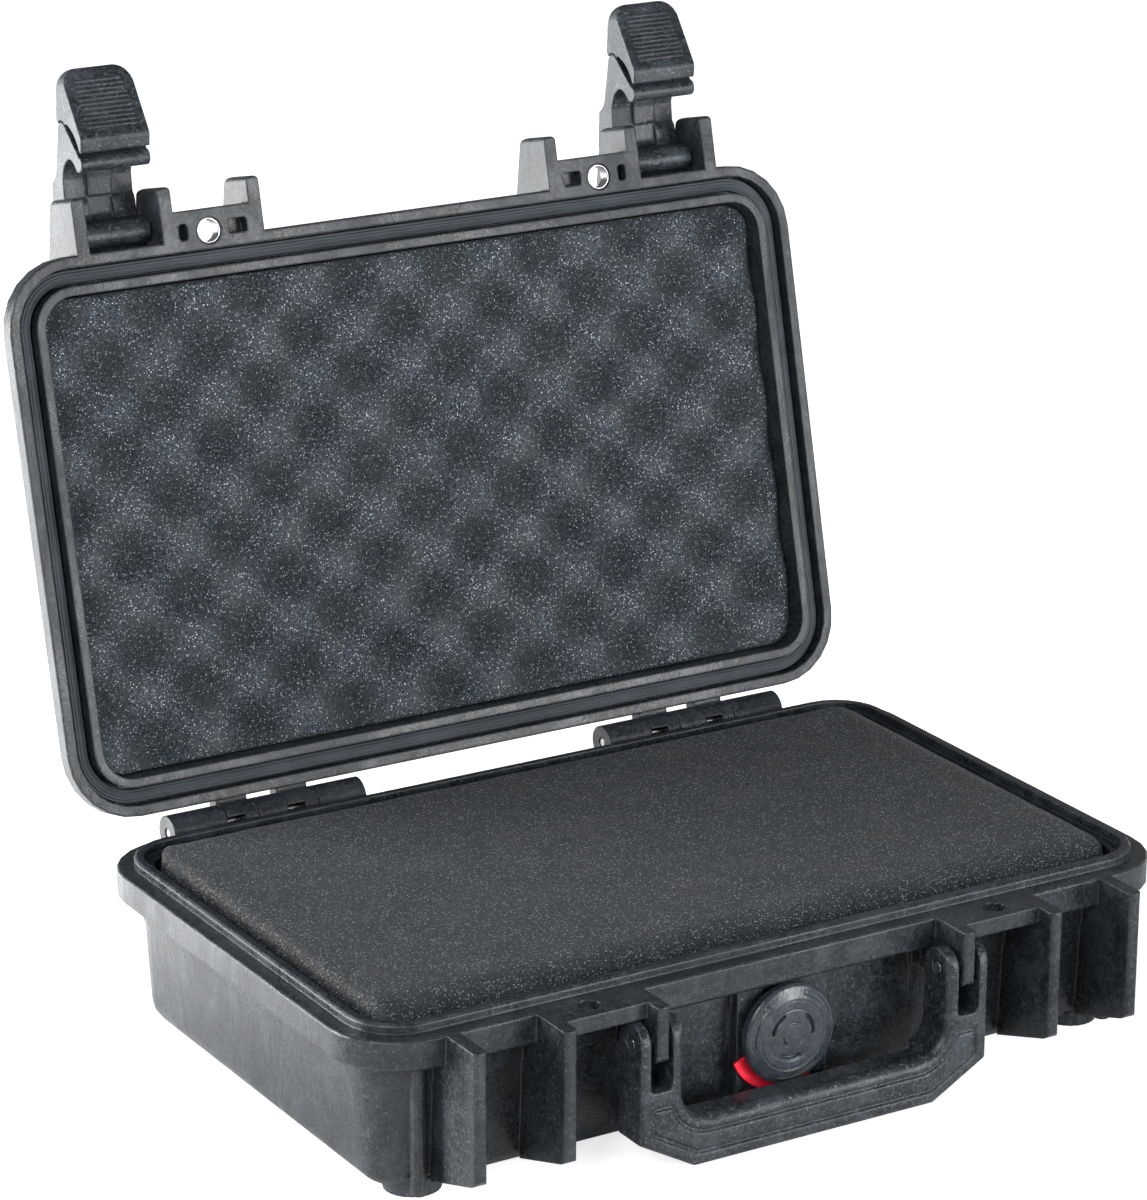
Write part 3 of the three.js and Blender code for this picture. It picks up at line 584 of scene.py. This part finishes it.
EGG_PITCH = (36.2 * MM, 31.5 * MM)
EGG_PLACE = (13.8 * MM, 7.0 * MM)        # one crest of the lattice
EGG_DEPTH = 6.5 * MM
LID_FOAM_HALF = (134.9 * MM, 77.8 * MM)
LID_FOAM_FACE = 60.8 * MM
LID_FOAM_BACK = 82.1 * MM


def egg_crest(x, y):
    """1 on the crests of the egg-crate lattice, 0 in its hollows."""
    along = np.cos(2 * math.pi * (x - EGG_PLACE[0]) / EGG_PITCH[0])
    across = np.cos(2 * math.pi * (y - EGG_PLACE[1]) / EGG_PITCH[1])
    return 0.5 + 0.5 * along * across


def make_lid_foam():
    """Egg-crate foam in the lid: soft bumps on a diagonal lattice."""
    half_x, half_y = LID_FOAM_HALF
    # Built face up, then turned over into the lid.
    place = LID_FRAME @ Matrix.Diagonal((1, 1, -1, 1))

    def top(x, y):
        # The bumps run out square at the hinge side and flatten towards the other three.
        edge = np.minimum(half_x - np.abs(x), half_y + y)
        pinch = 0.8 * MM * np.clip(1 - edge / (2.5 * MM), 0, 1) ** 2
        rough = 0.3 * MM * fractal(x, y, 60, 9.0) + 0.04 * MM * fractal(x, y, 300, 12.0)
        depth = EGG_DEPTH * (0.35 + 0.65 * np.clip(edge / (14 * MM), 0, 1))
        return -(LID_FOAM_FACE + 0.3 * MM) - depth * (1 - egg_crest(x, y)) - pinch + rough

    levels = [
        (-LID_FOAM_BACK, 1.8 * MM), (-LID_FOAM_FACE - 14 * MM, 0.8 * MM),
        (-LID_FOAM_FACE - 10.5 * MM, 0.3 * MM), (-LID_FOAM_FACE - 9.8 * MM, 0.3 * MM)]
    foam = pad_solid("lid_egg_foam", half_x, half_y, 10 * MM, levels, top, FOAM_STEP, place)
    flat = place.inverted()
    crest = foam.data.attributes.new("crest", "FLOAT", "POINT")
    for vertex, height in zip(foam.data.vertices, crest.data):
        local = flat @ vertex.co
        height.value = float(egg_crest(local.x, local.y))
    dress(foam, "lid_foam")
    stand_for(foam, "lid", "foam", "lid_foam")


# ---- seal -------------------------------------------------------------------------------------
RIM_HALF = (148 * MM, 91 * MM)
RIM_RADIUS = 23 * MM


def make_gasket():
    """The seal in the lid's channel: a rounded crown on a flat back."""
    section = []
    outer, inner, crown, back = 4.1 * MM, 8.9 * MM, 59.5 * MM, 62.4 * MM
    centre = (outer + inner) / 2
    reach = (inner - outer) / 2
    for i in range(33):
        angle = math.pi * i / 32
        across = math.cos(angle)
        drop = 1.5 * MM * (1 - math.sin(angle) ** 0.45) + 0.22 * MM * (1 - math.cos(5 * math.pi * across))
        section.append((centre - reach * across, crown + drop))
    section += [(inner, back), (outer, back)]
    ring = swept_ring("lid_seal", RIM_HALF[0], RIM_HALF[1], RIM_RADIUS, section, LID_FRAME)
    dress(ring, "seal")
    stand_for(ring, "lid", "seal", "lid_gasket")


# ---- valve cap --------------------------------------------------------------------------------
CAP_RINGS = 84
CAP_STEPS = 288
CAP_FACE_BACK = 0.36 * MM                # the face lies this far behind the front of the CAD cap
CHAMFER_START = 0.72                     # share of the cap's radius
# How far the face sinks (rises where negative) between two shares of the radius.
CAP_LINES = ((0.55 * MM, 0.685, 0.72), (0.35 * MM, 0.50, 0.53))
# The same in three arcs each, with the direction of one arc and the width of all, in degrees.
CAP_ARCS = (
    (1.6 * MM, 0.41, 0.50, 22, 58), (0.6 * MM, 0.20, 0.27, 82, 56),
    (0.7 * MM, 0.80, 0.90, 40, 62), (-0.3 * MM, 0.825, 0.875, 40, 54))


def band(r, inner, outer, soft):
    """1 between two radii, falling to 0 over soft at each."""
    return np.clip((r - inner) / soft, 0, 1) * np.clip((outer - r) / soft, 0, 1)


def three_arcs(angle, turn, width):
    """1 inside three evenly spaced arcs of width degrees, one of them centred on turn."""
    local = (angle - turn + 60) % 120 - 60
    return np.clip((width / 2 - np.abs(local)) / 3 + 0.5, 0, 1)


def make_valve_cap():
    """Turned cap of the vent valve: dished centre, ring grooves, arc slots and a chamfered rim."""
    low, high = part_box("valve_cap")
    centre = (low + high) / 2
    radius = (high.x - low.x) / 2
    angles = np.arange(CAP_STEPS) * 360 / CAP_STEPS
    r, angle = np.meshgrid(np.linspace(0.0, 1.0, CAP_RINGS + 1)[1:], angles, indexing="ij")
    depth = 1.5 * MM * np.clip((r - CHAMFER_START) / (1 - CHAMFER_START), 0, 1)
    depth += 0.6 * MM * np.clip((r - 0.94) / 0.06, 0, 1) ** 2
    depth -= 0.35 * MM * (1 - np.clip(r / 0.48, 0, 1) ** 2)
    for sunk, inner, outer in CAP_LINES:
        depth += sunk * band(r, inner, outer, 0.012)
    for sunk, inner, outer, turn, width in CAP_ARCS:
        depth += sunk * band(r, inner, outer, 0.02) * three_arcs(angle, turn, width)
    x = centre.x + radius * r * np.cos(np.radians(angle))
    z = centre.z + radius * r * np.sin(np.radians(angle))
    face = low.y + CAP_FACE_BACK
    y = face + depth
    verts = [np.stack([x, y, z], -1).reshape(-1, 3), np.array([[centre.x, face, centre.z]])]
    middle = CAP_RINGS * CAP_STEPS
    index = np.arange(middle).reshape(CAP_RINGS, CAP_STEPS)
    following = np.roll(index, -1, axis=1)
    faces = np.stack([index[:-1], index[1:], following[1:], following[:-1]], -1).reshape(-1, 4).tolist()
    faces += [(middle, int(index[0, k]), int(following[0, k])) for k in range(CAP_STEPS)]
    # The side wall, with a shallow waist, then the flat back.
    thickness = high.y - low.y
    side = (
        (0, 2.6 * MM), (0, 3.2 * MM), (0.25 * MM, 3.5 * MM), (0, 3.8 * MM), (0, thickness - 0.4 * MM),
        (0.4 * MM, thickness))
    offset = middle + 1
    above = index[-1]
    turns = np.radians(angles)
    for inset, reach in side:
        ring_x = centre.x + (radius - inset) * np.cos(turns)
        ring_z = centre.z + (radius - inset) * np.sin(turns)
        verts.append(np.stack([ring_x, np.full(CAP_STEPS, low.y + reach), ring_z], -1))
        ring = np.arange(offset, offset + CAP_STEPS)
        faces += np.stack([above, ring, np.roll(ring, -1), np.roll(above, -1)], -1).tolist()
        above = ring
        offset += CAP_STEPS
    faces.append(above.tolist())
    cap = new_object("vent_cap", np.concatenate(verts), faces)
    dress(cap, "cap")
    stand_for(cap, "base", "latch_polymer", "valve_cap")


# ---- handle -----------------------------------------------------------------------------------
GRIP_CORNER = (38 * MM, 26.5 * MM)       # centre of the round corner of the handle's opening
GRIP_CORNER_R = 10 * MM
BOTTOM_CORNER = (43.8 * MM, 12 * MM)     # the slanted corner runs from this x at the bottom to this z
PANEL_INSET = 4.6 * MM                   # from the outline and from the opening to the groove
GROOVE_DEPTH = 1.1 * MM
GROOVE_HALF_WIDTH = 0.85 * MM


def mirrored(half_path):
    """A path from the left to the right whose right half is given."""
    return [(-x, z) for x, z in reversed(half_path)] + half_path


def make_handle():
    """The carrying handle: round grip edges and an incised line round its raised front panel."""
    low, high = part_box("handle")
    outer = high.x - PANEL_INSET
    top = high.z + 2 * MM
    half_groove = [(42.6 * MM, low.z + PANEL_INSET), (outer, 14.7 * MM), (outer, 22.8 * MM)]
    half_groove += arc_points(GRIP_CORNER, GRIP_CORNER_R + PANEL_INSET, -15, -90, 8)
    groove = half_groove + [(-x, z) for x, z in reversed(half_groove)]    # closed, right half first
    groove_front = low.y - 1 * MM
    groove_floor = low.y + GROOVE_DEPTH
    groove_section = [
        (-GROOVE_HALF_WIDTH, groove_front), (GROOVE_HALF_WIDTH, groove_front),
        (GROOVE_HALF_WIDTH / 2, groove_floor), (-GROOVE_HALF_WIDTH / 2, groove_floor)]
    half_opening = arc_points(GRIP_CORNER, GRIP_CORNER_R, -90, 0, 8)
    half_opening.append((GRIP_CORNER[0] + GRIP_CORNER_R, top))
    opening = mirrored(half_opening)
    outline = mirrored([(BOTTOM_CORNER[0], low.z), (high.x, BOTTOM_CORNER[1]), (high.x, top)])
    cutters = [
        swept_cutter(groove, groove_section, True),
        swept_cutter(opening, round_over(3.4 * MM, low.y, -1), False),
        swept_cutter(outline, round_over(1.6 * MM, low.y, 1), False)]
    handle = moulded_copy("carry_handle", "handle", 0.4 * MM, 5, cutters)
    dress(handle, "latch_polymer")
    stand_for(handle, "handle", "latch_polymer", "handle")


# ---- latches ----------------------------------------------------------------------------------
def capsule_bar(verts, faces, start, end, radius, flatten, normal):
    """Adds a bar with rounded ends to a mesh under construction."""
    sides = 10
    axis = (end - start).normalized()
    across = axis.cross(normal).normalized()
    base = len(verts)
    stations = 0
    for tip, outward, slopes in ((start, -axis, (0, 30, 60, 90)), (end, axis, (90, 60, 30, 0))):
        for slope in slopes:
            point = tip + outward * radius * math.cos(math.radians(slope))
            reach = max(math.sin(math.radians(slope)), 0.02) * radius
            stations += 1
            for k in range(sides):
                turn = 2 * math.pi * k / sides
                sideways = across * math.cos(turn) + normal * flatten * math.sin(turn)
                verts.append(point + sideways * reach)
    faces += [[base + corner for corner in face] for face in wall_faces(stations, sides, False)]
    faces.append(range(base, base + sides))
    faces.append(range(base + (stations - 1) * sides, base + stations * sides))


LEVER_PAD_TIP = Vector((0, -1.3, 51.2)) * MM
LEVER_PAD_NOSE = Vector((0, -10.2, 33.6)) * MM
LEVER_RIBS = 11
RIB_RADIUS = 0.52 * MM
RIB_HALF_LENGTH = (7.6 * MM, 8.6 * MM)   # at the tip, where the lever is narrower, and from a third down


def make_latch(side):
    """One latch: its arm, its lever and the finger ribs on the lever."""
    for name, rounding in (("arm", 4), ("lever", 5)):
        node = f"latch_{name}_{side}"
        piece = moulded_copy(f"{name}_{side}", node, 0.3 * MM, rounding)
        dress(piece, "latch_polymer")
        stand_for(piece, node, "latch_polymer", node)
    make_lever_ribs(side)


def make_lever_ribs(side):
    """Finger ribs on the slanted face of a latch lever."""
    along = LEVER_PAD_NOSE - LEVER_PAD_TIP
    outward = Vector((0, along.z, -along.y)).normalized()
    narrow, wide = RIB_HALF_LENGTH
    verts, faces = [], []
    for i in range(LEVER_RIBS):
        share = 0.08 + 0.82 * i / (LEVER_RIBS - 1)
        middle = LEVER_PAD_TIP + along * share + outward * 0.02 * MM
        half = Vector((narrow + (wide - narrow) * min(1.0, share * 3), 0, 0))
        capsule_bar(verts, faces, middle - half, middle + half, RIB_RADIUS, 0.8, outward)
    ribs = new_object(f"lever_ribs_{side}", verts, faces, latch_frame(side))
    dress(ribs, "latch_polymer")
    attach(ribs, f"latch_lever_{side}")


# ---- carried-over nodes -----------------------------------------------------------------------
def dress_nodes():
    finishes = {
        "base_shell": ("shell", 0.45 * MM), "lid_shell": ("shell", 0.4 * MM),
        "valve_body": ("latch_polymer", 0.2 * MM), "valve_seal_ring": ("seal", 0.2 * MM),
        "valve_membrane": ("seal", 0.1 * MM), "valve_red_ring": ("red", 0.25 * MM)}
    for side in SIDES:
        for pin in ("hinge_pin", "handle_pin", "latch_pin", "latch_lever_pin", "padlock_sleeve"):
            finishes[f"{pin}_{side}"] = ("steel", 0.2 * MM)
    for name, (key, width) in finishes.items():
        node = frame["nodes"][name]
        dress(node, key)
        soften(node, width)


# ---- studio -----------------------------------------------------------------------------------
ROOM_LIGHT = 0.22                        # the backdrop's brightness for all but the camera
FLOOR_SIZE = 12.0


def area_light(name, place, target, size, power, in_reflections=True):
    data = bpy.data.lights.new(name, "AREA")
    data.shape = "RECTANGLE"
    data.size, data.size_y = size
    data.energy = power
    light = bpy.data.objects.new(name, data)
    bpy.context.scene.collection.objects.link(light)
    light.location = place
    light.rotation_euler = (Vector(place) - Vector(target)).to_track_quat("Z", "Y").to_euler()
    light.visible_glossy = in_reflections


def make_backdrop():
    """A backdrop that is seen white and lights the case only as strongly as a dim room would."""
    world = bpy.data.worlds.new("studio")
    world.use_nodes = True
    tree = world.node_tree
    background = tree.nodes["Background"]
    path = tree.nodes.new("ShaderNodeLightPath")
    strength = tree.nodes.new("ShaderNodeMapRange")
    strength.inputs["To Min"].default_value = ROOM_LIGHT
    strength.inputs["To Max"].default_value = 1.0
    tree.links.new(path.outputs["Is Camera Ray"], strength.inputs["Value"])
    tree.links.new(strength.outputs["Result"], background.inputs["Strength"])
    background.inputs["Color"].default_value = grey(1.0)
    bpy.context.scene.world = world
    bpy.context.scene.view_settings.view_transform = "Standard"


def make_floor():
    """A pale floor with a pool of light behind and left of the case. The rest gives back little."""
    reach = FLOOR_SIZE / 2
    corners = [(-reach, -reach, 0), (reach, -reach, 0), (reach, reach, 0), (-reach, reach, 0)]
    floor = new_object("floor", corners, [(0, 1, 2, 3)])
    g = Graph("pale_floor")
    pale_patches = g.noise(3.0, detail=2.0)
    colour = g.mix(g.span(pale_patches, 0.3, 0.7), grey(0.93), grey(0.96))
    where = g.node("ShaderNodeSeparateXYZ")
    g.feed(where, Vector=g.place)
    behind = g.span(where.outputs["Y"], -0.04, 0.20)
    leftwards = g.span(where.outputs["X"], -0.08, -0.22)
    glow = g.math("ADD", g.math("MULTIPLY", g.math("MULTIPLY", behind, leftwards), 3.2), 0.02)
    seen = g.node("ShaderNodeLightPath").outputs["Is Camera Ray"]
    strength = g.math("MAXIMUM", glow, g.math("MULTIPLY", seen, 0.75))
    material = g.finish(
        Base_Color=colour, Roughness=0.9, Emission_Color=grey(1.0), Emission_Strength=strength)
    floor.data.materials.append(material)


def make_lights():
    middle = (0, 0, 0.08)
    lid_foot = (0, 0.1, 0.16)
    area_light("left_back_softbox", (-1.5, 0.95, 0.42), middle, (0.9, 0.9), 60)
    area_light("front_right_softbox", (0.88, -1.6, 0.38), lid_foot, (0.62, 0.8), 17)
    area_light("front_right_fill", (0.75, -1.6, 0.35), lid_foot, (1.3, 0.9), 23, in_reflections=False)
    area_light("left_front_softbox", (-1.3, -1.0, 1.1), middle, (0.6, 0.6), 16)


make_camera()
make_base_foam()
make_foam_pad()
make_lid_foam()
make_gasket()
make_valve_cap()
make_handle()
for side_name in SIDES:
    make_latch(side_name)
dress_nodes()
make_backdrop()
make_floor()
make_lights()
